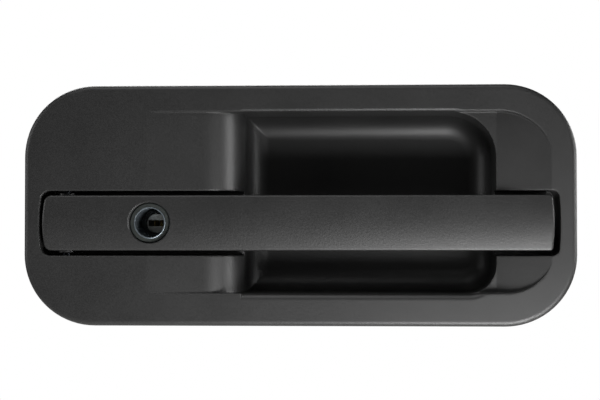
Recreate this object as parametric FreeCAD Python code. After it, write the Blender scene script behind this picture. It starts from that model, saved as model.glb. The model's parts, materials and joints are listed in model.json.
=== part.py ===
import FreeCAD, Part
import math
import os

# Flush pull handle for a vehicle door. Millimetres.
# X runs along the handle, Z is up, and the outside of the door is towards -Y.
# The origin is the middle of the plate, in the plane of the door skin that the gasket seals on.

V = FreeCAD.Vector

# plate
plateLength = 232.0
plateHeight = 101.2
plateCorner = 30.0
plateFront = -7.0
plateBack = -1.6
rimRound = 2.0
skin = 3.0
wall = 2.5

# shallow recess round the finger bowl, and the bowl itself
recessTop = 39.4
recessBottom = -37.0
recessRight = 106.6
shelfCrease = 105.4
recessLeft = -40.0
recessDepth = 1.0
recessCornerTop = 23.0
recessCornerBottom = 20.0
scoopStart = -64.0
rampRadius = 16.0
bowlLeft = recessLeft + rampRadius
bowlRight = 82.9
bowlFloor = 29.0
bowlBlend = 9.5
bowlCornerTop = 19.0
bowlCornerBottom = 12.0
shelfDepth = 5.0
lipRoundLower = 2.6
lipRoundUpper = 1.0

# grip bar and the channel it lies in
barLeft = -108.2
barRight = 106.5
barBottom = -19.0
barTop = 4.3
barFront = -8.0
barBack = 6.0
barCrown = 1.0
barWall = 2.4
barBowLeft = 1.3
barBowRight = 0.7
barCornerLeft = 3.0
barCornerRight = 1.2
gapTop = 1.9
gapBottom = 2.2
gapLeft = 1.4
gapRight = 2.6
channelFloor = 9.5
channelBack = channelFloor + wall + 0.1
barMid = (barTop + barBottom) / 2
gripScrewX = [-82.0, -30.0, 25.0, 70.0]
ribX = [-44.0, -16.0, 12.0, 36.0, 58.0, 80.0]
ribThick = 1.6

# hinge of the grip bar
hingeX = -99.0
hingeY = -1.0
hingePinR = 2.0
runGap = 0.05
bushR = 3.0
hingeRingR = 2.9
hingeBossHalf = 5.5
hingeBossTop = 15.0
hingeBossBottom = -30.5
hingeTubeR = 4.4

# lock
lockX = -62.7
lockMouthR = 8.6
collarR = 8.45
barrelR = 8.0
collarDepth = 2.0
guideR = 6.2
guideWall = 0.55
plugR = 4.5
plugFace = 15.0
plugStep = 1.9
plugStepDepth = 1.2
barrelBack = 34.0
slotHeight = 2.6
clipThick = 1.0
clipGrooveR = 7.2
camReach = 26.0
camThick = 2.5

# pull hook: its tongue is bent round the hinge, so it stays in one narrow slot
hookX = 100.2
hookR = hookX - hingeX
tongueThick = 3.0
tongueHalf = 7.4
eyeY = 42.0
eyeHeight = 9.6
eyeWidth = 7.5
hookEnd = 48.8

# release crank, turning about X
crankArm = 28.0
crankHalfTurn = 25.15
crankY = 30.0
crankZ = barMid + 26.7
shaftR = 3.0
rollerR = 3.0
rollerPinR = 1.5
forkLeft = 92.6
forkRight = 101.7
forkThick = 2.0
outputArm = 20.0
rodR = 2.1
cheekLeft = 86.4
cheekRight = 107.8
cheekThick = 2.6
carrierTop = 36.0
carrierBottom = -34.0
springWire = 0.55
springTurnR = 6.2
springTurns = 3
springLeg = 8.5
springPitch = 0.98

# door opening and fixings
openingLeft = -112.2
openingRight = 112.8
openingTop = 41.9
openingBottom = -41.0
openingCorner = 25.0
studX = 70.0
studZ = 46.0
studR = 2.5
studEnd = 18.0
studShoulderR = 3.0
studHeadR = 3.4
plateRibX = [-92.0, -78.0, -60.0]
postR = 4.0
postScrewR = 2.0
stopStemR = 1.5
stopPadR = 2.6


def box(x0, x1, y0, y1, z0, z1):
    return Part.makeBox(x1 - x0, y1 - y0, z1 - z0, V(x0, y0, z0))


def rodX(x0, x1, y, z, r):
    return Part.makeCylinder(r, x1 - x0, V(x0, y, z), V(1, 0, 0))


def rodY(y0, y1, x, z, r):
    return Part.makeCylinder(r, y1 - y0, V(x, y0, z), V(0, 1, 0))


def rodZ(z0, z1, x, y, r):
    return Part.makeCylinder(r, z1 - z0, V(x, y, z0), V(0, 0, 1))


def joined(shapes):
    return shapes[0].multiFuse(shapes[1:]).removeSplitter()


def outline(x0, x1, z0, z1, corners):
    """Face of a rounded rectangle in the XZ plane. corners are the radii at lower left, lower
    right, upper right and upper left, and a corner of radius 0 is sharp."""
    lowLeft, lowRight, upRight, upLeft = corners
    places = [
        (x1 - lowRight, z0 + lowRight, lowRight, -90),
        (x1 - upRight, z1 - upRight, upRight, 0),
        (x0 + upLeft, z1 - upLeft, upLeft, 90),
        (x0 + lowLeft, z0 + lowLeft, lowLeft, 180),
    ]
    edges = []
    last = V(x0 + lowLeft, 0, z0)
    for cx, cz, r, start in places:
        a, m, b = [
            V(cx + r * math.cos(math.radians(start + t)), 0, cz + r * math.sin(math.radians(start + t)))
            for t in (0, 45, 90)
        ]
        if last.distanceToPoint(a) > 1e-6:
            edges.append(Part.makeLine(last, a))
        if r > 0:
            edges.append(Part.Arc(a, m, b).toShape())
        last = b
    if last.distanceToPoint(V(x0 + lowLeft, 0, z0)) > 1e-6:
        edges.append(Part.makeLine(last, V(x0 + lowLeft, 0, z0)))
    return Part.Face(Part.Wire(Part.__sortEdges__(edges)))


def prism(face, y0, y1):
    """Face in the XZ plane pushed from y0 to y1."""
    solid = face.extrude(V(0, y1 - y0, 0))
    solid.translate(V(0, y0, 0))
    return solid


def profile(points, z0, z1):
    """Polygon in the XY plane, pushed up from z0 to z1. A point given as (x, y, mx, my) is reached
    by an arc through (mx, my)."""
    edges = []
    last = points[-1][:2]
    for p in points:
        a, b = V(last[0], last[1], z0), V(p[0], p[1], z0)
        if len(p) == 4:
            edges.append(Part.Arc(a, V(p[2], p[3], z0), b).toShape())
        else:
            edges.append(Part.makeLine(a, b))
        last = p[:2]
    return Part.Face(Part.Wire(edges)).extrude(V(0, 0, z1 - z0))


def edgesAt(solid, y, tolerance=0.01):
    """Edges that lie wholly in the plane at depth y."""
    return [
        e
        for e in solid.Edges
        if abs(e.BoundBox.YMin - y) < tolerance and abs(e.BoundBox.YMax - y) < tolerance
    ]


def plateOutline(inset=0.0):
    a, b = plateLength / 2 - inset, plateHeight / 2 - inset
    return outline(-a, a, -b, b, [plateCorner - inset] * 4)


def openingOutline(grow=0.0):
    return outline(
        openingLeft - grow, openingRight + grow, openingBottom - grow, openingTop + grow,
        [openingCorner + grow] * 4,
    )


def recessOutline(grow=0.0):
    return outline(
        recessLeft - grow, recessRight + grow, recessBottom - grow, recessTop + grow,
        [0, recessCornerBottom + grow, recessCornerTop + grow, 0],
    )


def bowlOutline(grow=0.0):
    return outline(
        bowlLeft - grow, bowlRight + grow, recessBottom - grow, recessTop + grow,
        [0, bowlCornerBottom + grow, bowlCornerTop + grow, 0],
    )


def bowedBody(grow, gaps, y0, y1, cornerLeft, cornerRight):
    """Bar-shaped body whose two ends bow outwards. gaps are what is added at the left, right,
    bottom and top of the bar's own outline."""
    left, right, bottom, top = gaps
    x0, x1 = barLeft - left - grow, barRight + right + grow
    z0, z1 = barBottom - bottom - grow, barTop + top + grow
    low, high = x0 + barBowLeft, x1 - barBowRight
    middle = (z0 + z1) / 2
    edges = [
        Part.makeLine(V(low, y0, z0), V(high, y0, z0)),
        Part.Arc(V(high, y0, z0), V(x1, y0, middle), V(high, y0, z1)).toShape(),
        Part.makeLine(V(high, y0, z1), V(low, y0, z1)),
        Part.Arc(V(low, y0, z1), V(x0, y0, middle), V(low, y0, z0)).toShape(),
    ]
    body = Part.Face(Part.Wire(edges)).extrude(V(0, y1 - y0, 0))
    upright = [e for e in body.Edges if e.BoundBox.YLength > (y1 - y0) * 0.9]
    body = body.makeFillet(cornerLeft, [e for e in upright if e.BoundBox.XMax < 0])
    upright = [e for e in body.Edges if e.BoundBox.YLength > (y1 - y0) * 0.9]
    return body.makeFillet(cornerRight, [e for e in upright if e.BoundBox.XMin > high - 0.01])


def channelBody(grow, y0, y1):
    gaps = (gapLeft, gapRight, gapBottom, gapTop)
    return bowedBody(grow, gaps, y0, y1, barCornerLeft + 1 + grow, barCornerRight + 2 + grow)


def barBody(inset, y0, y1):
    left, right = [max(corner - inset, 1.0) for corner in (barCornerLeft, barCornerRight)]
    return bowedBody(-inset, (0, 0, 0, 0), y0, y1, left, right)


def bowlTool():
    """Space of the finger bowl, with a round blend between its walls and its floor."""
    tool = prism(bowlOutline(), plateFront - 5, bowlFloor)
    return tool.makeFillet(bowlBlend, edgesAt(tool, bowlFloor))


def bowlShell():
    shell = prism(bowlOutline(wall), plateFront + skin, bowlFloor + wall)
    return shell.makeFillet(bowlBlend + wall, edgesAt(shell, bowlFloor + wall))


def rampTool(offset=0.0, z0=recessBottom, z1=recessTop):
    """Space over the scoop that leads the fingers into the bowl from the left. With an offset it is
    the hollow behind that wall instead."""
    top = plateFront + recessDepth + offset
    r = rampRadius - offset
    k = math.sqrt(0.5)
    cx, cy = recessLeft, plateFront + recessDepth + rampRadius
    if offset:
        points = [
            (recessLeft - 3, channelBack + 1), (recessLeft - 3, top), (cx, top),
            (cx + r, cy, cx + r * k, cy - r * k), (cx + r, channelBack + 1),
        ]
    else:
        points = [
            (bowlLeft + 12, plateFront - 5), (scoopStart, plateFront - 5), (scoopStart, plateFront),
            (cx, top),
            (cx + r, cy, cx + r * k, cy - r * k), (bowlLeft + 12, cy),
        ]
    return profile(points, z0, z1)


def shelfTool():
    """Space over the sloping shelf at the free end of the bar."""
    deep = plateFront + shelfDepth
    wedge = profile(
        [(60, plateFront - 5), (shelfCrease, plateFront - 5), (shelfCrease, plateFront),
         (bowlRight, deep), (60, deep)],
        recessBottom, recessTop,
    )
    return wedge.common(prism(recessOutline(), plateFront - 5, channelFloor))


def studs():
    pieces = []
    for sx in (-1, 1):
        for sz in (-1, 1):
            head = rodY(plateBack - 3.0, plateBack - 1.4, sx * studX, sz * studZ, studHeadR)
            shoulder = rodY(plateBack - 1.5, 0, sx * studX, sz * studZ, studShoulderR)
            shank = rodY(-0.1, studEnd, sx * studX, sz * studZ, studR)
            body = joined([head, shoulder, shank])
            tip = [e for e in body.Edges if abs(e.BoundBox.YMin - studEnd) < 0.01]
            pieces.append(body.makeChamfer(0.6, tip))
    return Part.makeCompound(pieces)


def postPlaces():
    """Carrier screw places (x, z)."""
    return [(98.0, 31.0), (91.5, -29.0), (104.0, -27.5)]


def mouthCut(plate, z0, z1, corners, lipZ, radius):
    """Half of the bowl's mouth, cut through the skin, with its lip at lipZ rounded."""
    plate = plate.cut(prism(outline(bowlLeft, bowlRight, z0, z1, corners), plateFront - 5, plateFront + 5))
    lip = [e for e in edgesAt(plate, plateFront) if abs(e.BoundBox.ZMin - lipZ) < 0.01
           and e.BoundBox.ZLength < 0.01]
    return plate.makeFillet(radius, lip)


def bezelPlate():
    plate = prism(plateOutline(), plateFront, plateBack)
    plate = plate.makeFillet(rimRound, edgesAt(plate, plateFront))
    plate = plate.cut(prism(openingOutline(), plateFront + skin, plateBack + 1))

    plate = mouthCut(plate, recessBottom, 0, [0, bowlCornerBottom, 0, 0], recessBottom, lipRoundLower)
    plate = mouthCut(plate, 0, recessTop, [0, 0, bowlCornerTop, 0], recessTop, lipRoundUpper)
    plate = plate.cut(box(recessLeft, bowlLeft + 6, plateFront - 5, plateFront + recessDepth,
                          recessBottom, recessTop))

    back = [
        bowlShell(),
        channelBody(wall, plateFront + skin, channelBack),
        prism(recessOutline(wall).common(box(60, 120, -1, 1, -60, 60)), plateFront + skin, 0.6),
        box(recessLeft - 4, bowlLeft - wall + 0.5, plateFront + skin, channelBack,
            recessBottom - wall, recessTop + wall),
    ]
    for z0, z1 in ((barTop + gapTop, hingeBossTop), (hingeBossBottom, barBottom - gapBottom)):
        back.append(box(hingeX - hingeBossHalf, hingeX + hingeBossHalf, plateFront + skin,
                        hingeY + hingeBossHalf, z0, z1))
    for x, z in postPlaces():
        back.append(rodY(plateFront + skin, channelBack, x, z, postR))
    for x in plateRibX:
        back.append(box(x, x + ribThick, plateFront + skin, plateBack, barTop, openingTop))
        back.append(box(x, x + ribThick, plateFront + skin, plateBack, openingBottom, barBottom))
    plate = joined([plate] + back)

    for z0, z1 in ((barTop + gapTop + wall, recessTop), (recessBottom, barBottom - gapBottom - wall)):
        plate = plate.cut(rampTool(wall + 0.3, z0, z1))
    plate = plate.cut(joined([rampTool(), shelfTool(), bowlTool()]))
    plate = plate.cut(channelBody(0, plateFront - 5, channelFloor))

    plate = plate.cut(rodZ(-40, 30, hingeX, hingeY, hingePinR))
    slot = prism(outline(lockX - barrelR - 0.9, lockX + barrelR + 2.6, barMid - barrelR - 0.9,
                         barMid + barrelR + 0.9, [barrelR + 0.89] * 4), channelFloor - 1, channelBack + 1)
    plate = plate.cut(slot)
    tongueSlot = box(hookX - 3.0, hookX + 2.0, channelFloor - 1, channelBack + 1,
                     barMid - tongueHalf - 0.7, barMid + tongueHalf + 0.7)
    plate = plate.cut(tongueSlot)
    for x, z in postPlaces():
        plate = plate.cut(rodY(2.0, channelBack + 1, x, z, postScrewR))
    for x, z in stopPlaces():
        plate = plate.cut(rodY(channelFloor - 1, channelBack + 1, x, z, stopStemR))
    return plate.cut(studs())


def doorGasket():
    gasket = prism(plateOutline(0.8), plateBack, 0).cut(prism(openingOutline(), plateBack - 1, 1))
    for sx in (-1, 1):
        for sz in (-1, 1):
            gasket = gasket.cut(rodY(-3, 1, sx * studX, sz * studZ, studShoulderR + 0.1))
    return gasket


def stopPlaces():
    """Rubber stops that the bar closes on (x, z)."""
    return [(87.2, barMid + 5.5), (87.2, barMid - 5.5)]


def barStops():
    pieces = []
    for x, z in stopPlaces():
        pad = rodY(barBack + 0.25, channelFloor, x, z, stopPadR)
        pad = pad.makeFillet(0.6, [e for e in pad.Edges if abs(e.BoundBox.YMax - barBack - 0.25) < 0.01])
        stem = rodY(channelFloor, channelBack, x, z, stopStemR)
        pieces.append(joined([pad, stem]))
    return Part.makeCompound(pieces)


def slotSeal():
    outer = prism(outline(hookX - 4.8, hookX + 3.6, barMid - 9.4, barMid + 9.4, [2] * 4),
                  channelBack, channelBack + 1.5)
    inner = prism(outline(hookX - 3.0, hookX + 1.7, barMid - tongueHalf - 0.5, barMid + tongueHalf + 0.5,
                          [0.5] * 4), channelBack - 1, channelBack + 3)
    return outer.cut(inner)


def ringPlaces():
    """Lower face of each retaining ring on the hinge pin."""
    return [hingeBossTop, hingeBossBottom - 0.8]


def hingePin():
    bottom, top = hingeBossBottom - 3.0, hingeBossTop + 3.0
    pin = rodZ(bottom, top, hingeX, hingeY, hingePinR)
    for z0 in ringPlaces():
        groove = rodZ(z0, z0 + 0.8, hingeX, hingeY, 3).cut(rodZ(z0, z0 + 0.8, hingeX, hingeY, 1.5))
        pin = pin.cut(groove)
    ends = [e for e in pin.Edges if e.BoundBox.ZMin > top - 0.1 or e.BoundBox.ZMax < bottom + 0.1]
    return pin.makeChamfer(0.4, ends)


def ring(at, axis, inner, outer, thick):
    """Open retaining ring whose gap faces -Y or, on a shaft along Y, +X."""
    body = Part.makeCylinder(outer, thick, at, axis).cut(Part.makeCylinder(inner, thick, at, axis))
    gap = inner * 1.2
    if axis.y:
        opening = box(at.x, at.x + outer * 2, at.y - 1, at.y + thick + 1, at.z - gap / 2, at.z + gap / 2)
    elif axis.x:
        opening = box(at.x - 1, at.x + thick + 1, at.y - outer * 2, at.y, at.z - gap / 2, at.z + gap / 2)
    else:
        opening = box(at.x - gap / 2, at.x + gap / 2, at.y, at.y + outer * 2, at.z - 1, at.z + thick + 1)
    return body.cut(opening)


def hingeRings():
    return Part.makeCompound([
        ring(V(hingeX, hingeY, z), V(0, 0, 1), 1.5, hingeRingR, 0.8) for z in ringPlaces()
    ])


def barShell():
    outer = barBody(0, barFront, barBack)
    half = (barTop - barBottom) / 2
    crownR = (half * half + barCrown * barCrown) / (2 * barCrown)
    outer = outer.common(rodX(barLeft - 1, barRight + 1, barFront + crownR, barMid, crownR))
    front = [e for e in outer.Edges if e.BoundBox.YMax < barFront + barCrown + 0.4]
    outer = outer.makeFillet(0.9, front)
    shell = outer.cut(barBody(barWall, barFront + 3.0, barBack + 1))

    inside = barFront + 2.5
    parts = [shell]
    for x in gripScrewX:
        parts.append(rodY(inside, barBack - 2.5, x, barMid, 3.4))
    for x in ribX:
        parts.append(box(x, x + ribThick, inside, barBack - 2.5, barBottom + 1, barTop - 1))
    parts.append(rodY(inside, barBack - 2.5, lockX, barMid, collarR + 2.2))
    shell = joined(parts)
    for x in gripScrewX:
        shell = shell.cut(rodY(barFront + 3.6, barBack, x, barMid, 1.5))
    shell = shell.cut(rodY(barFront - 1, barBack, lockX, barMid, lockMouthR))
    lip = Part.makeCone(lockMouthR + 0.7, lockMouthR, 0.9, V(lockX, barFront - 0.1, barMid), V(0, 1, 0))
    shell = shell.cut(lip)
    return shell.cut(rodZ(barBottom - 1, barTop + 1, hingeX, hingeY, bushR))


def gripBackplate():
    """Die-cast back of the bar: it carries the hinge tube, the lock and the hook."""
    plate = barBody(barWall, barBack - 2.5, barBack)
    tube = rodZ(barBottom + barWall, barTop - barWall, hingeX, hingeY, hingeTubeR)
    web = box(hingeX - 3.0, hingeX + 3.0, hingeY, barBack - 2, barBottom + barWall, barTop - barWall)
    rib = box(-50.0, 84.0, barBack - 5.5, barBack - 2, barTop - barWall - 2.0, barTop - barWall - 0.2)
    low = box(-50.0, 84.0, barBack - 5.5, barBack - 2, barBottom + barWall + 0.2, barBottom + barWall + 2.0)
    plate = joined([plate, tube, web, rib, low])
    plate = plate.cut(box(hingeX - 6, hingeX + 6, barFront, barFront + 3.1, barBottom, barTop))
    for x in ribX:
        plate = plate.cut(box(x - 0.1, x + ribThick + 0.1, barFront, barBack - 2.5, barBottom, barTop))
    for x in gripScrewX:
        plate = plate.cut(rodY(barFront, barBack + 1, x, barMid, 1.6))
        plate = plate.cut(Part.makeCone(1.5, 3.1, 1.6, V(x, barBack - 1.6, barMid), V(0, 1, 0)))
    for x, z in hookScrewPlaces():
        plate = plate.cut(rodY(barBack - 3, barBack + 1, x, z, 1.25))
    plate = plate.cut(rodY(barFront, barBack + 1, lockX, barMid, barrelR))
    return plate.cut(rodZ(barBottom, barTop, hingeX, hingeY, bushR))


def countersunk(x, z, tip, face, shankR, headR):
    """Countersunk screw along Y: its head is flush with depth face, and a cross socket is cut in it."""
    head = Part.makeCone(shankR, headR, 1.5, V(x, face - 1.5, z), V(0, 1, 0))
    body = head.fuse(rodY(tip, face - 1.4, x, z, shankR)).removeSplitter()
    for dx, dz in ((headR * 0.55, 0.35), (0.35, headR * 0.55)):
        body = body.cut(box(x - dx, x + dx, face - 0.9, face + 1, z - dz, z + dz))
    return body


def gripScrews():
    return Part.makeCompound([
        countersunk(x, barMid, barFront + 4.0, barBack, 1.5, 3.0) for x in gripScrewX
    ])


def hookScrewPlaces():
    return [(94.8, barMid + 4.4), (94.8, barMid - 4.4)]


def hookScrews():
    return Part.makeCompound([
        countersunk(x, z, barBack - 2.6, barBack + 2.0, 1.25, 2.2) for x, z in hookScrewPlaces()
    ])


def hingeBushes():
    pieces = []
    for face, way in ((barTop, 1), (barBottom, -1)):
        tube = rodZ(min(face, face - way * 8.0), max(face, face - way * 8.0), hingeX, hingeY, bushR)
        flange = rodZ(min(face, face + way * 0.8), max(face, face + way * 0.8), hingeX, hingeY, 3.8)
        bush = tube.fuse(flange).removeSplitter()
        pieces.append(bush.cut(rodZ(-30, 20, hingeX, hingeY, hingePinR + runGap)))
    return Part.makeCompound(pieces)


def arcPoint(r, y):
    """Point at depth y on the circle of radius r round the hinge."""
    return (hingeX + math.sqrt(r * r - (y - hingeY) ** 2), y)


def pullHook():
    outerR, innerR = hookR + tongueThick / 2, hookR - tongueThick / 2
    root = barBack + 1.0
    a, b = arcPoint(innerR, root), arcPoint(innerR, hookEnd)
    c, d = arcPoint(outerR, hookEnd), arcPoint(outerR, root)
    mid = (root + hookEnd) / 2
    tongue = profile([a, b + arcPoint(innerR, mid), c, d + arcPoint(outerR, mid)],
                     barMid - tongueHalf, barMid + tongueHalf)
    foot = outline(hookX - 9.2, hookX + 4.4, barMid - tongueHalf, barMid + tongueHalf, [1.5] * 4)
    base = prism(foot, barBack, barBack + 2.0)
    hook = base.fuse(tongue).removeSplitter()
    tips = [e for e in hook.Edges if e.BoundBox.YMin > hookEnd - 1.2 and e.BoundBox.ZLength < 0.1
            and e.BoundBox.XLength > 2]
    hook = hook.makeFillet(4.0, tips)
    eye = outline(-eyeHeight / 2, eyeHeight / 2, -eyeWidth / 2, eyeWidth / 2, [eyeWidth / 2 - 0.01] * 4)
    eye = eye.extrude(V(0, 40, 0))
    # the eye is drawn upright, then laid so that it runs through the tongue along X
    eye.rotate(V(0, 0, 0), V(0, 0, 1), -90)
    eye.rotate(V(0, 0, 0), V(1, 0, 0), 90)
    eye.translate(V(80, eyeY - 0.1, barMid))
    hook = hook.cut(eye)
    for x, z in hookScrewPlaces():
        hook = hook.cut(rodY(barBack - 1, barBack + 3, x, z, 1.25))
        hook = hook.cut(Part.makeCone(1.25, 2.3, 1.6, V(x, barBack + 0.45, z), V(0, 1, 0)))
    return hook


def lockBarrel():
    face = barFront + collarDepth
    collar = rodY(face, barBack - 2.5, lockX, barMid, collarR)
    body = rodY(barBack - 2.6, barrelBack, lockX, barMid, barrelR)
    barrel = collar.fuse(body).removeSplitter()
    barrel = barrel.makeChamfer(0.35, edgesAt(barrel, face))
    barrel = barrel.cut(rodY(face - 1, plugFace - 0.4, lockX, barMid, guideR + guideWall))
    barrel = barrel.cut(rodY(plugFace - 1, barrelBack + 1, lockX, barMid, plugR + runGap))
    barrel = barrel.cut(sealRing())
    groove = rodY(barBack, barBack + clipThick, lockX, barMid, 12)
    return barrel.cut(groove.cut(rodY(barBack, barBack + clipThick, lockX, barMid, clipGrooveR)))


def keyGuide():
    """Plated sleeve that lines the barrel's mouth, rolled over at its rim."""
    face = barFront + collarDepth
    outer = rodY(face - 0.3, plugFace - 0.4, lockX, barMid, guideR + guideWall)
    rim = edgesAt(outer, face - 0.3)
    return outer.makeFillet(0.3, rim).cut(rodY(face - 1, plugFace, lockX, barMid, guideR))


def sealRing():
    return rodY(barBack - 4.4, barBack - 2.5, lockX, barMid, lockMouthR).cut(
        rodY(barBack - 5, barBack, lockX, barMid, collarR - 0.6))


def barrelClip():
    return ring(V(lockX, barBack, barMid), V(0, 1, 0), clipGrooveR, 10.2, clipThick)


def waferPlaces():
    return [plugFace + 3.0 + 2.6 * i for i in range(5)]


def wafer(y, grow=0.0):
    return box(lockX - 1.6 - grow, lockX + 1.6 + grow, y - grow, y + 1.0 + grow,
               barMid - 3.9 - grow, barMid + 3.9 + grow)


def plugWafers():
    slot = box(lockX - 1.1, lockX + 1.1, 0, 60, barMid - 1.8, barMid + 1.8)
    return Part.makeCompound([wafer(y).cut(slot) for y in waferPlaces()])


def lockPlug():
    plug = rodY(plugFace, barrelBack + 2.5, lockX, barMid, plugR)
    plug = plug.makeChamfer(0.4, edgesAt(plug, plugFace))
    plug = plug.cut(box(lockX - plugR - 1, lockX - plugStep, plugFace - 1, plugFace + plugStepDepth,
                        barMid - plugR, barMid + plugR))
    square = box(lockX - 2.6, lockX + 2.6, barrelBack + 2, barrelBack + 5.0, barMid - 2.6, barMid + 2.6)
    plug = plug.fuse(square).removeSplitter()
    key = box(lockX - 3.7, lockX + 3.7, plugFace - 1, barrelBack - 3.0,
              barMid - slotHeight / 2, barMid + slotHeight / 2)
    plug = plug.cut(key)
    for y in waferPlaces():
        plug = plug.cut(wafer(y, 0.05))
    return plug.cut(rodY(barrelBack - 2.0, barrelBack + 6.0, lockX, barMid, 1.25))


def camLever():
    y0, y1 = barrelBack + 2.5, barrelBack + 2.5 + camThick
    hub = rodY(y0, y1, lockX, barMid, 6.0)
    arm = prism(outline(lockX - camReach - 4.0, lockX, barMid - 4.0, barMid + 4.0, [3.99] * 4), y0, y1)
    lever = hub.fuse(arm).removeSplitter()
    lever = lever.cut(box(lockX - 2.65, lockX + 2.65, y0 - 1, y1 + 1, barMid - 2.65, barMid + 2.65))
    return lever.cut(rodY(y0 - 1, y1 + 1, lockX - camReach, barMid, 2.6))


def camScrew():
    y1 = barrelBack + 5.0
    head = rodY(y1, y1 + 1.6, lockX, barMid, 4.2)
    head = head.makeFillet(0.6, [e for e in head.Edges if e.BoundBox.YMin > y1 + 1.5])
    screw = head.fuse(rodY(barrelBack - 1.5, y1, lockX, barMid, 1.25)).removeSplitter()
    for dx, dz in ((2.0, 0.45), (0.45, 2.0)):
        screw = screw.cut(box(lockX - dx, lockX + dx, y1 + 0.7, y1 + 3, barMid - dz, barMid + dz))
    return screw


def rodClip(at, axis, barThick, neckR):
    """Snap clip for a control rod: a collar each side of a lever and a hole right through."""
    base = Part.makeCylinder(4.4, 2.4, at - axis * 2.4, axis)
    neck = Part.makeCylinder(neckR, barThick, at, axis)
    nose = Part.makeCone(3.4, 2.9, 2.0, at + axis * barThick, axis)
    hole = Part.makeCylinder(rodR, 30, at - axis * 10, axis)
    return joined([base, neck, nose]).cut(hole)


def lockRodClip():
    return rodClip(V(lockX - camReach, barrelBack + 2.5 + camThick, barMid), V(0, -1, 0), camThick, 2.6)


def cheek(x0):
    points = [
        (channelBack, -6.0), (channelBack, 36.0), (channelBack + 6, 36.0), (crankY + 6.0, crankZ + 7.5),
        (crankY + 8.0, crankZ), (crankY + 4.0, crankZ - 7.5), (channelBack + 4.0, -6.0),
    ]
    wire = Part.makePolygon([V(x0, y, z) for y, z in points + points[:1]])
    plate = Part.Face(wire).extrude(V(cheekThick, 0, 0))
    nose = [e for e in plate.Edges if e.BoundBox.XLength > 1 and e.BoundBox.YMin > crankY + 1]
    return plate.makeFillet(3.0, nose)


def carrier():
    foot = outline(cheekLeft, cheekRight + cheekThick, carrierBottom, carrierTop, [4] * 4)
    base = prism(foot, channelBack, channelBack + cheekThick)
    body = joined([base, cheek(cheekLeft), cheek(cheekRight)])
    hole = outline(cheekLeft + cheekThick + 0.4, cheekRight - 1.3, barMid - 10.2, 14.5, [2] * 4)
    window = prism(hole, channelBack - 1, channelBack + 6)
    body = body.cut(window)
    body = body.cut(rodX(cheekLeft - 1, cheekRight + 9, crankY, crankZ, shaftR + 0.02))
    for x, z in postPlaces():
        body = body.cut(rodY(channelBack - 1, channelBack + 5, x, z, 2.1))
    x, y, z = springTips()[1]
    return body.cut(rodX(x, cheekRight + cheekThick + 1, y, z, springWire + 0.05))


def carrierScrews():
    pieces = []
    face = channelBack + 2.6
    for x, z in postPlaces():
        head = rodY(face, face + 2.4, x, z, 3.8)
        head = head.makeFillet(0.9, [e for e in head.Edges if e.BoundBox.YMin > face + 2.3])
        screw = head.fuse(rodY(2.5, face, x, z, postScrewR)).removeSplitter()
        for dx, dz in ((2.1, 0.45), (0.45, 2.1)):
            screw = screw.cut(box(x - dx, x + dx, face + 1.2, face + 3, z - dz, z + dz))
        pieces.append(screw)
    return Part.makeCompound(pieces)


def crankShaft():
    shaft = rodX(cheekLeft - 0.8, 112.0, crankY, crankZ, shaftR)
    head = rodX(cheekLeft - 0.8, cheekLeft, crankY, crankZ, 4.6)
    shaft = shaft.fuse(head).removeSplitter()
    x0 = cheekRight + cheekThick
    groove = rodX(x0, x0 + 0.7, crankY, crankZ, 5).cut(rodX(x0, x0 + 0.7, crankY, crankZ, 2.3))
    return shaft.cut(groove)


def shaftRing():
    return ring(V(cheekRight + cheekThick, crankY, crankZ), V(1, 0, 0), 2.3, 5.0, 0.7)


def crankPoint(length, degrees):
    """Point at a distance and angle from the crank's axis. 0 degrees is +Y and 90 is +Z."""
    a = math.radians(degrees)
    return (crankY + length * math.cos(a), crankZ + length * math.sin(a))


def crankArmPlate(x0, thick, end, hubR, endR):
    """Tapered arm from the hub to an end point, as the hull of two circles."""
    ey, ez = end
    length = math.hypot(ey - crankY, ez - crankZ)
    base = math.atan2(ez - crankZ, ey - crankY)
    spread = math.acos((hubR - endR) / length)
    corners = []
    hub = (crankY, crankZ)
    for centre, r, side in ((hub, hubR, 1), (end, endR, 1), (end, endR, -1), (hub, hubR, -1)):
        a = base + side * spread
        corners.append(V(x0, centre[0] + r * math.cos(a), centre[1] + r * math.sin(a)))
    plate = Part.Face(Part.makePolygon(corners + corners[:1])).extrude(V(thick, 0, 0))
    return joined([plate, rodX(x0, x0 + thick, crankY, crankZ, hubR), rodX(x0, x0 + thick, ey, ez, endR)])


def rollerPlace():
    return crankPoint(crankArm, -90 + crankHalfTurn)


def outputPlace():
    return crankPoint(outputArm, crankHalfTurn)


def releaseCrank():
    hub = rodX(cheekLeft + cheekThick + 0.3, forkRight + forkThick, crankY, crankZ, 7.0)
    nose = rodX(forkRight + forkThick, cheekRight - 0.4, crankY, crankZ, 5.0)
    arms = [
        crankArmPlate(forkLeft - forkThick, forkThick, rollerPlace(), 7.0, 3.8),
        crankArmPlate(forkRight, forkThick, rollerPlace(), 7.0, 3.8),
        crankArmPlate(95.0, 3.0, outputPlace(), 7.0, 4.6),
    ]
    crank = joined([hub, nose] + arms)
    crank = crank.cut(rodX(80, 120, crankY, crankZ, 4.2))
    ry, rz = rollerPlace()
    oy, oz = outputPlace()
    crank = crank.cut(rodX(80, 120, ry, rz, rollerPinR))
    x, y, z = springTips()[0]
    crank = crank.cut(rodX(forkRight - 1, x, y, z, springWire + 0.05))
    return crank.cut(rodX(94, 99, oy, oz, 2.6))


def crankBushes():
    pieces = []
    left = cheekLeft + cheekThick + 0.3
    for x0, x1 in ((left, left + 6.0), (cheekRight - 6.4, cheekRight - 0.4)):
        pieces.append(rodX(x0, x1, crankY, crankZ, 4.2).cut(rodX(x0, x1, crankY, crankZ, shaftR + runGap)))
    return Part.makeCompound(pieces)


def crankRoller():
    y, z = rollerPlace()
    roller = rodX(forkLeft + 0.1, forkRight - 0.1, y, z, rollerR)
    return roller.cut(rodX(forkLeft, forkRight, y, z, rollerPinR + runGap))


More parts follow.
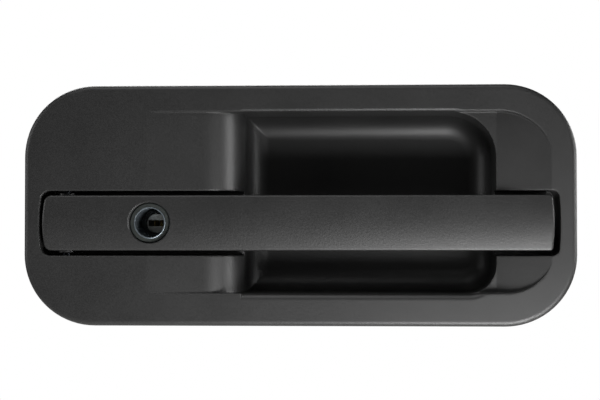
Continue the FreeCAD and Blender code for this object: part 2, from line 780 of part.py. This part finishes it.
def rollerPin():
    y, z = rollerPlace()
    pin = rodX(forkLeft - forkThick, forkRight + forkThick, y, z, rollerPinR)
    return pin.fuse(rodX(forkRight + forkThick, forkRight + forkThick + 0.8, y, z, 2.6)).removeSplitter()


def latchRodClip():
    y, z = outputPlace()
    return rodClip(V(95.0, y, z), V(1, 0, 0), 3.0, 2.6)


def springTips():
    """Where the spring's two legs turn into the crank and into the carrier."""
    first = forkRight + forkThick + springWire + 0.1
    last = first + (springTurns - 1) * springPitch
    return [
        (first, crankY + springTurnR, crankZ - springLeg),
        (last, crankY - springTurnR, crankZ - springLeg),
    ]


def crankSpring():
    """Torsion spring round the crank's nose: close turns, and two legs with bent tips."""
    (first, y0, z0), (last, y1, z1) = springTips()
    legR = springWire * 0.92
    wires = []
    for i in range(springTurns):
        centre = V(first + springPitch * i, crankY, crankZ + springTurnR)
        wires.append(Part.Face(Part.Wire(Part.makeCircle(springWire, centre, V(0, 1, 0)))))
    section = joined(wires)
    pieces = [section.Faces[0].revolve(V(0, crankY, crankZ), V(1, 0, 0), 360)]
    for x, y, z, end in ((first, y0, z0, forkRight + 0.2), (last, y1, z1, cheekRight + cheekThick)):
        pieces.append(rodZ(z - legR * 0.9, crankZ + 0.5, x, y, legR))
        pieces.append(rodX(min(x, end), max(x, end), y, z, legR))
    return joined(pieces)


nodes = {
    "bezel_plate": bezelPlate,
    "door_gasket": doorGasket,
    "mounting_studs": studs,
    "bar_stops": barStops,
    "slot_seal": slotSeal,
    "hinge_pin": hingePin,
    "hinge_pin_rings": hingeRings,
    "grip_shell": barShell,
    "grip_backplate": gripBackplate,
    "grip_screws": gripScrews,
    "hinge_bushes": hingeBushes,
    "pull_hook": pullHook,
    "hook_screws": hookScrews,
    "lock_barrel": lockBarrel,
    "key_guide": keyGuide,
    "barrel_seal": sealRing,
    "barrel_clip": barrelClip,
    "lock_plug": lockPlug,
    "plug_wafers": plugWafers,
    "cam_lever": camLever,
    "cam_screw": camScrew,
    "lock_rod_clip": lockRodClip,
    "carrier": carrier,
    "carrier_screws": carrierScrews,
    "crank_shaft": crankShaft,
    "crank_shaft_ring": shaftRing,
    "release_crank": releaseCrank,
    "crank_bushes": crankBushes,
    "crank_roller": crankRoller,
    "roller_pin": rollerPin,
    "latch_rod_clip": latchRodClip,
    "crank_spring": crankSpring,
}

os.makedirs("parts", exist_ok=True)
for name, make in nodes.items():
    shape = make()
    shape.exportStep(os.path.join("parts", name + ".step"))
    state = "valid" if shape.isValid() else "NOT VALID"
    print(name, len(shape.Solids), "solids", round(shape.Volume), "mm3", state)
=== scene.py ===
import json
import math

import bmesh
import bpy
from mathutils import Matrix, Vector


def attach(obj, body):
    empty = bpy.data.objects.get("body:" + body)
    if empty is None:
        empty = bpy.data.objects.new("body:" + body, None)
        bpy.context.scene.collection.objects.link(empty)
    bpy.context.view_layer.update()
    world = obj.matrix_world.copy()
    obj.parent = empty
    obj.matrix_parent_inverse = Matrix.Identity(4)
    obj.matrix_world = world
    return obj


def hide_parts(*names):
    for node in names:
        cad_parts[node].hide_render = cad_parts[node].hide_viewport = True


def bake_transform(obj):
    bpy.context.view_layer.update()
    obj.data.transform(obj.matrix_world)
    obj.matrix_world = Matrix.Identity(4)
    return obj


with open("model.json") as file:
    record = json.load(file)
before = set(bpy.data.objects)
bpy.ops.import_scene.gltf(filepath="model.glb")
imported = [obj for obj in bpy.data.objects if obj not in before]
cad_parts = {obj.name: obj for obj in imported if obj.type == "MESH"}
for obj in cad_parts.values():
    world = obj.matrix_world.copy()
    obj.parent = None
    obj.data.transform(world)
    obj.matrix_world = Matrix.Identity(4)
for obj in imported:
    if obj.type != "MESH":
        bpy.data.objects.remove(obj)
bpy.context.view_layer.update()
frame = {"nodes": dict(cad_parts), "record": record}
mm = 0.001
scene = bpy.context.scene
nodes = frame["nodes"]
print("frame loaded:", len(nodes), "nodes")


def linear(hexColour):
    channels = [int(hexColour[i:i + 2], 16) / 255 for i in (1, 3, 5)]
    return [c / 12.92 if c <= 0.04045 else ((c + 0.055) / 1.055) ** 2.4 for c in channels] + [1.0]


def addNode(tree, kind, inputs=None, **settings):
    made = tree.nodes.new(kind)
    for name, value in settings.items():
        setattr(made, name, value)
    for name, value in (inputs or {}).items():
        if isinstance(value, bpy.types.NodeSocket):
            tree.links.new(value, made.inputs[name])
        else:
            made.inputs[name].default_value = value
    return made


def perMetre(sizeMm):  # texture scale that makes one pattern cell this many millimetres wide
    return 1.0 / (sizeMm * mm)


def startMaterial(name):
    material = bpy.data.materials.new(name)
    material.use_nodes = True
    tree = material.node_tree
    tree.nodes.clear()
    place = addNode(tree, "ShaderNodeTexCoord").outputs["Object"]
    return material, tree, place


def finishMaterial(tree, shader):
    addNode(tree, "ShaderNodeOutputMaterial", {"Surface": shader.outputs["BSDF"]})


# glass-filled nylon, spark-eroded tool grain: a dull near-black with a soft wide sheen and fine pebbling
plateGrain = {
    "dark": "#131313", "light": "#1d1d1d", "roughness": 0.44, "specular": 0.5,
    "pebbleMm": 0.75,       # real grain is about 0.3 mm: drawn coarser so that it shows
    "cloudMm": 28.0, "bump": 0.20, "depthMm": 0.05, "edgeMm": 1.0,
}
barGrain = {
    "dark": "#141414", "light": "#1f1f1f", "roughness": 0.43, "specular": 0.5,
    "pebbleMm": 0.85,       # drawn coarser, as on the plate
    "cloudMm": 22.0, "bump": 0.42, "depthMm": 0.06, "edgeMm": 0.5,
}


def grainedPlastic(name, look):
    material, tree, place = startMaterial(name)
    cloud = addNode(tree, "ShaderNodeTexNoise", {
        "Vector": place, "Scale": perMetre(look["cloudMm"]), "Detail": 3.0})
    pebble = addNode(tree, "ShaderNodeTexVoronoi", {"Vector": place, "Scale": perMetre(look["pebbleMm"])},
                     feature="SMOOTH_F1")
    speck = addNode(tree, "ShaderNodeTexNoise", {"Vector": place, "Scale": perMetre(look["pebbleMm"] * 0.6),
                                                "Detail": 4.0, "Roughness": 0.65})
    height = addNode(tree, "ShaderNodeMath", {0: pebble.outputs["Distance"], 1: speck.outputs["Fac"]},
                     operation="ADD")
    tint = addNode(tree, "ShaderNodeMath", {0: cloud.outputs["Fac"], 1: speck.outputs["Fac"]},
                   operation="MULTIPLY")
    colour = addNode(tree, "ShaderNodeValToRGB", {"Fac": tint.outputs["Value"]})
    colour.color_ramp.elements[0].position = 0.12
    colour.color_ramp.elements[0].color = linear(look["dark"])
    colour.color_ramp.elements[1].position = 0.42
    colour.color_ramp.elements[1].color = linear(look["light"])
    dull = addNode(tree, "ShaderNodeMapRange", {
        "Value": speck.outputs["Fac"], "From Min": 0.3, "From Max": 0.7,
        "To Min": look["roughness"] - 0.05, "To Max": look["roughness"] + 0.07})
    softEdge = addNode(tree, "ShaderNodeBevel", {"Radius": look["edgeMm"] * mm}, samples=4)
    bump = addNode(tree, "ShaderNodeBump", {
        "Height": height.outputs["Value"], "Strength": look["bump"], "Distance": look["depthMm"] * mm,
        "Normal": softEdge.outputs["Normal"]})
    shader = addNode(tree, "ShaderNodeBsdfPrincipled", {
        "Base Color": colour.outputs["Color"], "Roughness": dull.outputs["Result"],
        "Specular IOR Level": look["specular"], "IOR": 1.5, "Normal": bump.outputs["Normal"]})
    finishMaterial(tree, shader)
    return material


# metals, each with cloudy tone and fine scratches: zinc plate, satin nickel, smoked chrome round the key,
# spring steel, black oxide, brass darkened as painted shade for the depth of the key slot, shot-blasted
# aluminium
metalLooks = {
    "zincPlatedSteel": {"dark": "#a9abac", "light": "#d3d3cf", "roughness": 0.30, "cloudMm": 5.0,
                        "grainMm": 0.5, "depthMm": 0.03, "bump": 0.12, "edgeMm": 0.2},
    "satinNickel": {"dark": "#7f7e7a", "light": "#aaa8a2", "roughness": 0.34, "cloudMm": 3.0,
                    "grainMm": 0.35, "depthMm": 0.02, "bump": 0.10, "edgeMm": 0.15},
    "smokedChrome": {"dark": "#6e767c", "light": "#868e94", "roughness": 0.48, "cloudMm": 4.0,
                     "grainMm": 0.5, "depthMm": 0.02, "bump": 0.08, "edgeMm": 0.15},
    "springSteel": {"dark": "#55585c", "light": "#7d8084", "roughness": 0.36, "cloudMm": 3.0,
                    "grainMm": 0.4, "depthMm": 0.02, "bump": 0.10, "edgeMm": 0.1},
    "blackOxideSteel": {"dark": "#17181a", "light": "#26282b", "roughness": 0.38, "cloudMm": 3.0,
                        "grainMm": 0.4, "depthMm": 0.02, "bump": 0.10, "edgeMm": 0.2},
    # brass colours set well below real brass: painted shade for the wafers deep inside the key slot
    "stampedBrassPaintedShade": {"dark": "#5a4a2a", "light": "#7a6740", "roughness": 0.42, "cloudMm": 3.0,
                     "grainMm": 0.4, "depthMm": 0.02, "bump": 0.10, "edgeMm": 0.1},
    "castAluminium": {"dark": "#8f9192", "light": "#b7b8b8", "roughness": 0.55, "cloudMm": 9.0,
                      "grainMm": 0.55, "depthMm": 0.08, "bump": 0.45, "edgeMm": 0.5},
}


def wornMetal(name):
    look = metalLooks[name]
    material, tree, place = startMaterial(name)
    cloud = addNode(tree, "ShaderNodeTexNoise", {
        "Vector": place, "Scale": perMetre(look["cloudMm"]), "Detail": 5.0})
    grain = addNode(tree, "ShaderNodeTexNoise", {
        "Vector": place, "Scale": perMetre(look["grainMm"]), "Detail": 6.0})
    colour = addNode(tree, "ShaderNodeValToRGB", {"Fac": cloud.outputs["Fac"]})
    colour.color_ramp.elements[0].position = 0.3
    colour.color_ramp.elements[0].color = linear(look["dark"])
    colour.color_ramp.elements[1].position = 0.72
    colour.color_ramp.elements[1].color = linear(look["light"])
    dull = addNode(tree, "ShaderNodeMapRange", {
        "Value": grain.outputs["Fac"], "From Min": 0.3, "From Max": 0.7,
        "To Min": look["roughness"] - 0.07, "To Max": look["roughness"] + 0.10})
    softEdge = addNode(tree, "ShaderNodeBevel", {"Radius": look["edgeMm"] * mm}, samples=4)
    bump = addNode(tree, "ShaderNodeBump", {
        "Height": grain.outputs["Fac"], "Strength": look["bump"], "Distance": look["depthMm"] * mm,
        "Normal": softEdge.outputs["Normal"]})
    shader = addNode(tree, "ShaderNodeBsdfPrincipled", {
        "Base Color": colour.outputs["Color"], "Metallic": 1.0, "Roughness": dull.outputs["Result"],
        "Normal": bump.outputs["Normal"]})
    finishMaterial(tree, shader)
    return material


# black powder coat over die-cast zinc: low orange peel, a little greenish, matte
coatLook = {"dark": "#151917", "light": "#1e2321", "roughness": 0.50, "peelMm": 1.1, "bump": 0.18,
            "depthMm": 0.05, "edgeMm": 0.3}
# foam, rubber, acetal and nylon: no shine beyond a faint wide one
softLooks = {
    "foamRubber": {"dark": "#1a1a1b", "light": "#303031", "roughness": 0.92,
                   "cellMm": 0.8, "cloudMm": 6.0, "bump": 0.7, "depthMm": 0.2, "edgeMm": 0.3},
    "mouldedRubber": {"dark": "#151515", "light": "#1f1f20", "roughness": 0.72,
                      "cellMm": 0.5, "cloudMm": 6.0, "bump": 0.2, "depthMm": 0.04, "edgeMm": 0.3},
    "turnedAcetal": {"dark": "#161617", "light": "#1e1e1f", "roughness": 0.4,
                     "cellMm": 0.4, "cloudMm": 6.0, "bump": 0.08, "depthMm": 0.02, "edgeMm": 0.15},
    "naturalNylon": {"dark": "#c9c3b2", "light": "#dfdacb", "roughness": 0.42,
                     "cellMm": 0.6, "cloudMm": 6.0, "bump": 0.08, "depthMm": 0.02, "edgeMm": 0.2},
}


def powderCoat(name):
    look = coatLook
    material, tree, place = startMaterial(name)
    peel = addNode(tree, "ShaderNodeTexNoise", {
        "Vector": place, "Scale": perMetre(look["peelMm"]), "Detail": 2.0})
    colour = addNode(tree, "ShaderNodeValToRGB", {"Fac": peel.outputs["Fac"]})
    colour.color_ramp.elements[0].position = 0.3
    colour.color_ramp.elements[0].color = linear(look["dark"])
    colour.color_ramp.elements[1].position = 0.75
    colour.color_ramp.elements[1].color = linear(look["light"])
    dull = addNode(tree, "ShaderNodeMapRange", {
        "Value": peel.outputs["Fac"], "From Min": 0.3, "From Max": 0.7,
        "To Min": look["roughness"] - 0.04, "To Max": look["roughness"] + 0.08})
    softEdge = addNode(tree, "ShaderNodeBevel", {"Radius": look["edgeMm"] * mm}, samples=4)
    bump = addNode(tree, "ShaderNodeBump", {
        "Height": peel.outputs["Fac"], "Strength": look["bump"], "Distance": look["depthMm"] * mm,
        "Normal": softEdge.outputs["Normal"]})
    shader = addNode(tree, "ShaderNodeBsdfPrincipled", {
        "Base Color": colour.outputs["Color"], "Roughness": dull.outputs["Result"], "IOR": 1.5,
        "Normal": bump.outputs["Normal"]})
    finishMaterial(tree, shader)
    return material


def softPolymer(name):
    look = softLooks[name]
    material, tree, place = startMaterial(name)
    cell = addNode(tree, "ShaderNodeTexVoronoi", {"Vector": place, "Scale": perMetre(look["cellMm"])})
    cloud = addNode(tree, "ShaderNodeTexNoise", {
        "Vector": place, "Scale": perMetre(look["cloudMm"]), "Detail": 4.0})
    colour = addNode(tree, "ShaderNodeValToRGB", {"Fac": cloud.outputs["Fac"]})
    colour.color_ramp.elements[0].position = 0.3
    colour.color_ramp.elements[0].color = linear(look["dark"])
    colour.color_ramp.elements[1].position = 0.7
    colour.color_ramp.elements[1].color = linear(look["light"])
    softEdge = addNode(tree, "ShaderNodeBevel", {"Radius": look["edgeMm"] * mm}, samples=4)
    bump = addNode(tree, "ShaderNodeBump", {
        "Height": cell.outputs["Distance"], "Strength": look["bump"], "Distance": look["depthMm"] * mm,
        "Normal": softEdge.outputs["Normal"]})
    shader = addNode(tree, "ShaderNodeBsdfPrincipled", {
        "Base Color": colour.outputs["Color"], "Roughness": look["roughness"], "IOR": 1.5,
        "Normal": bump.outputs["Normal"]})
    finishMaterial(tree, shader)
    return material


finishes = {
    "plate_plastic": grainedPlastic("grainedNylonPlate", plateGrain),
    "bar_plastic": grainedPlastic("grainedNylonBar", barGrain),
    "gasket_foam": softPolymer("foamRubber"),
    "black_rubber": softPolymer("mouldedRubber"),
    "plated_steel": wornMetal("zincPlatedSteel"),
    "spring_steel": wornMetal("springSteel"),
    "black_oxide_steel": wornMetal("blackOxideSteel"),
    "black_diecast": powderCoat("blackPowderCoat"),
    "cast_aluminium": wornMetal("castAluminium"),
    "nickel": wornMetal("satinNickel"),
    "dark_chrome": wornMetal("smokedChrome"),
    "brass": wornMetal("stampedBrassPaintedShade"),
    "black_acetal": softPolymer("turnedAcetal"),
    "rod_clip_nylon": softPolymer("naturalNylon"),
}
for part in frame["record"]["subparts"]:
    owner = nodes[part["node"]]
    for slot in owner.material_slots:
        slot.material = finishes[part["material_slot"]]
    if not owner.material_slots:
        owner.data.materials.append(finishes[part["material_slot"]])
print("finishes made:", len(finishes))


def ringedMesh(name, rings):  # closed skin over a row of equal rings, with a flat cap on each end
    n = len(rings[0])
    faces = [(i * n + j, i * n + (j + 1) % n, (i + 1) * n + (j + 1) % n, (i + 1) * n + j)
             for i in range(len(rings) - 1) for j in range(n)]
    faces.append(tuple(reversed(range(n))))
    faces.append(tuple(range((len(rings) - 1) * n, len(rings) * n)))
    mesh = bpy.data.meshes.new(name)
    mesh.from_pydata([v * mm for ring in rings for v in ring], [], faces)
    return mesh


def finishedPiece(name, mesh, slotName, smoothBelow):
    work = bmesh.new()
    work.from_mesh(mesh)
    bmesh.ops.recalc_face_normals(work, faces=work.faces)
    work.to_mesh(mesh)
    work.free()
    mesh.shade_smooth()
    mesh.set_sharp_from_angle(angle=math.radians(smoothBelow))
    piece = bpy.data.objects.new(name, mesh)
    scene.collection.objects.link(piece)
    mesh.materials.append(finishes[slotName])
    return piece


# M5 studs: rolled thread with flattened crests, a plain shoulder through the gasket, a head in the moulding
studShape = {"x": 70.0, "z": 46.0, "headR": 3.4, "headFrom": -4.6, "headTo": -3.0, "shoulderR": 3.0,
             "crestR": 2.49, "rootR": 2.05, "pitch": 0.8, "end": 18.0, "leadIn": 0.7,
             "around": 28, "perTurn": 7}


def studRings(cx, cz):
    look = studShape
    turns = [2 * math.pi * j / look["around"] for j in range(look["around"])]

    def ringAt(y, radius):
        return [Vector((cx + radius(t) * math.cos(t), y, cz + radius(t) * math.sin(t))) for t in turns]

    plain = [(look["headFrom"], 0.9 * look["headR"]), (look["headFrom"] + 0.3, look["headR"]),
             (look["headTo"], look["headR"]), (look["headTo"], look["shoulderR"]),
             (-0.15, look["shoulderR"]), (0.0, look["shoulderR"] - 0.15), (0.0, look["rootR"])]
    rings = [ringAt(y, lambda t, r=r: r) for y, r in plain]
    steps = int(look["end"] / look["pitch"] * look["perTurn"])
    for i in range(1, steps + 1):
        y = look["end"] * i / steps
        limit = look["crestR"] - max(0.0, y - look["end"] + look["leadIn"])

        def thread(t, y=y, limit=limit):
            phase = (y / look["pitch"] - t / (2 * math.pi)) % 1.0
            rise = min(1.0, max(0.0, 1.25 * (1 - abs(2 * phase - 1)) - 0.12))
            return min(limit, look["rootR"] + (look["crestR"] - look["rootR"]) * rise)

        rings.append(ringAt(y, thread))
    return rings


def buildStuds():
    made = []
    for sx in (-1, 1):
        for sz in (-1, 1):
            mesh = ringedMesh("stud", studRings(sx * studShape["x"], sz * studShape["z"]))
            made.append(finishedPiece("threaded_stud_%d" % (len(made) + 1), mesh, "plated_steel", 38))
    for stud in made:
        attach(stud, "housing")
    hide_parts("mounting_studs")
    print("studs threaded")


# return spring: open wound wire, one leg hooked in the crank and one in the carrier
springShape = {"y": 30.0, "z": 19.35, "coilR": 6.2, "wireR": 0.47, "firstX": 104.35, "pitch": 1.0,
               "turns": 2.5, "leg": 8.5, "bendR": 1.0, "crankTipX": 101.9, "carrierTipX": 110.3, "around": 12}


def springPath():
    look = springShape
    lastX = look["firstX"] + look["pitch"] * look["turns"]
    low = look["z"] - look["leg"]
    right, left = look["y"] + look["coilR"], look["y"] - look["coilR"]
    b = look["bendR"]
    bends = [math.radians(a) for a in (0, 22, 45, 68, 90)]
    path = [Vector((look["crankTipX"], right, low))]
    path += [Vector((look["firstX"] - b + b * math.sin(a), right, low + b - b * math.cos(a))) for a in bends]
    count = int(look["turns"] * 48)
    for i in range(count + 1):
        a = 2 * math.pi * look["turns"] * i / count
        x = look["firstX"] + (lastX - look["firstX"]) * i / count
        path.append(Vector((x, look["y"] + look["coilR"] * math.cos(a),
                            look["z"] + look["coilR"] * math.sin(a))))
    path += [Vector((lastX + b - b * math.cos(a), left, low + b - b * math.sin(a))) for a in bends]
    path.append(Vector((look["carrierTipX"], left, low)))
    return path


def buildSpring():
    path = springPath()
    side = Vector((0, 1, 0))
    turns = [2 * math.pi * j / springShape["around"] for j in range(springShape["around"])]
    rings = []
    for i, at in enumerate(path):
        along = (path[min(i + 1, len(path) - 1)] - path[max(i - 1, 0)]).normalized()
        side = (side - along * side.dot(along)).normalized()
        up = along.cross(side)
        rings.append([at + (side * math.cos(t) + up * math.sin(t)) * springShape["wireR"] for t in turns])
    spring = finishedPiece("return_spring", ringedMesh("spring", rings), "spring_steel", 60)
    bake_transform(spring)
    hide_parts("crank_spring")
    print("spring wound")


buildStuds()
buildSpring()

# studio: pale floor, soft key from low right, fills on the other sides, and an even pale surround
studio = {
    "cameraFrom": (2.6, -1.4), "distance": 0.600, "viewWidth": 0.2511, "aim": (0.0007, -0.007, 0.0022),
    "floorZ": -0.45, "floorSize": 6.0, "floorColour": "#e9e8e6", "floorLift": 0.75,
    "surround": 0.08, "seen": 1.0,
}
lamps = {
    "keyLowRight": {"from": (27.0, -36.0), "distance": 0.424, "size": 0.18, "power": 3.3},
    "sideStrip": {"from": (78.0, 4.0), "distance": 0.70, "size": 0.20, "power": 2.3},
    "topFill": {"from": (-15.0, 62.0), "distance": 0.90, "size": 0.60, "power": 3.2},
    "leftFill": {"from": (-70.0, 12.0), "distance": 0.90, "size": 0.50, "power": 2.6},
    "backFill": {"from": (196.0, 34.0), "distance": 0.90, "size": 0.60, "power": 7.0},
    "backSide": {"from": (128.0, 12.0), "distance": 0.90, "size": 0.40, "power": 3.0},
}


def towards(azimuth, elevation):  # unit vector from the handle, azimuth from straight ahead towards +X
    a, e = math.radians(azimuth), math.radians(elevation)
    return Vector((math.sin(a) * math.cos(e), -math.cos(a) * math.cos(e), math.sin(e)))


def buildStudio():
    aim = Vector(studio["aim"])
    camera = bpy.data.objects.new("camera", bpy.data.cameras.new("camera"))
    scene.collection.objects.link(camera)
    back = towards(*studio["cameraFrom"])
    camera.location = aim + back * studio["distance"]
    camera.rotation_euler = (-back).to_track_quat("-Z", "Y").to_euler()
    camera.data.sensor_width = 36.0
    camera.data.lens = 36.0 * studio["distance"] / studio["viewWidth"]
    scene.camera = camera
    for name, lamp in lamps.items():
        light = bpy.data.objects.new(name, bpy.data.lights.new(name, "AREA"))
        scene.collection.objects.link(light)
        way = towards(*lamp["from"])
        light.location = aim + way * lamp["distance"]
        light.rotation_euler = (-way).to_track_quat("-Z", "Y").to_euler()
        light.data.size = lamp["size"]
        light.data.energy = lamp["power"]
    half = studio["floorSize"] / 2
    mesh = bpy.data.meshes.new("floor")
    corners = [(-half, -half), (half, -half), (half, half), (-half, half)]
    mesh.from_pydata([(x, y, studio["floorZ"]) for x, y in corners], [], [(0, 1, 2, 3)])
    floor = bpy.data.objects.new("floor", mesh)
    scene.collection.objects.link(floor)
    material, tree, place = startMaterial("paleFloor")
    seen = addNode(tree, "ShaderNodeLightPath").outputs["Is Camera Ray"]
    # a little light of its own, so that the floor stays pale away from the lamps
    lift = addNode(tree, "ShaderNodeMath", {0: seen, 1: studio["floorLift"]}, operation="MULTIPLY")
    shader = addNode(tree, "ShaderNodeBsdfPrincipled", {
        "Base Color": linear(studio["floorColour"]), "Roughness": 0.8,
        "Emission Color": linear(studio["floorColour"]), "Emission Strength": lift.outputs["Value"]})
    finishMaterial(tree, shader)
    mesh.materials.append(material)
    world = bpy.data.worlds.new("surround")
    world.use_nodes = True
    scene.world = world
    tree = world.node_tree
    tree.nodes.clear()
    seen = addNode(tree, "ShaderNodeLightPath").outputs["Is Camera Ray"]
    strength = addNode(tree, "ShaderNodeMapRange", {
        "Value": seen, "To Min": studio["surround"], "To Max": studio["seen"]})
    sky = addNode(tree, "ShaderNodeBackground", {
        "Strength": strength.outputs["Result"], "Color": (1, 1, 1, 1)})
    addNode(tree, "ShaderNodeOutputWorld", {"Surface": sky.outputs["Background"]})
    scene.view_settings.view_transform = "Standard"
    print("studio set")


buildStudio()
